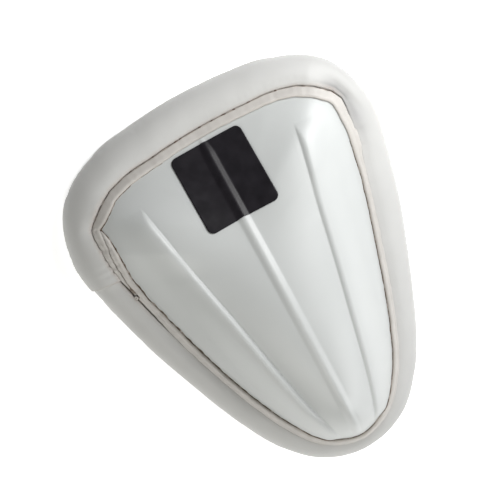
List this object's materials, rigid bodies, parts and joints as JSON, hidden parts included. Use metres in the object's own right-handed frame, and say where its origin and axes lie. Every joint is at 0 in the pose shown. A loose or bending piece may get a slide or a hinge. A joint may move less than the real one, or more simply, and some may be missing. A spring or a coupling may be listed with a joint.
{
  "type": "abdominal guard",
  "caption": "Protective cup worn at the groin in ball sports: a ribbed domed plastic shell with a padded roll stitched round its rim.",
  "frame": {"origin": "middle of the footprint, on the surface that the rim rests on", "axes": "+Z out of the dome, +Y along the guard towards the waist edge, tip at -Y"},
  "size_m": [0.1264, 0.1519, 0.0393],
  "materials": {
    "shell": "white satin moulded plastic",
    "padded_rim": "smooth white vinyl over soft foam",
    "seam_welt": "folded off-white vinyl, stitched",
    "badge": "thin black printed film"
  },
  "bodies": {
    "root": {"shell": "shell", "padded_rim": "padded_rim", "seam_welt": "seam_welt", "badge": "badge"}
  },
  "joints": []
}
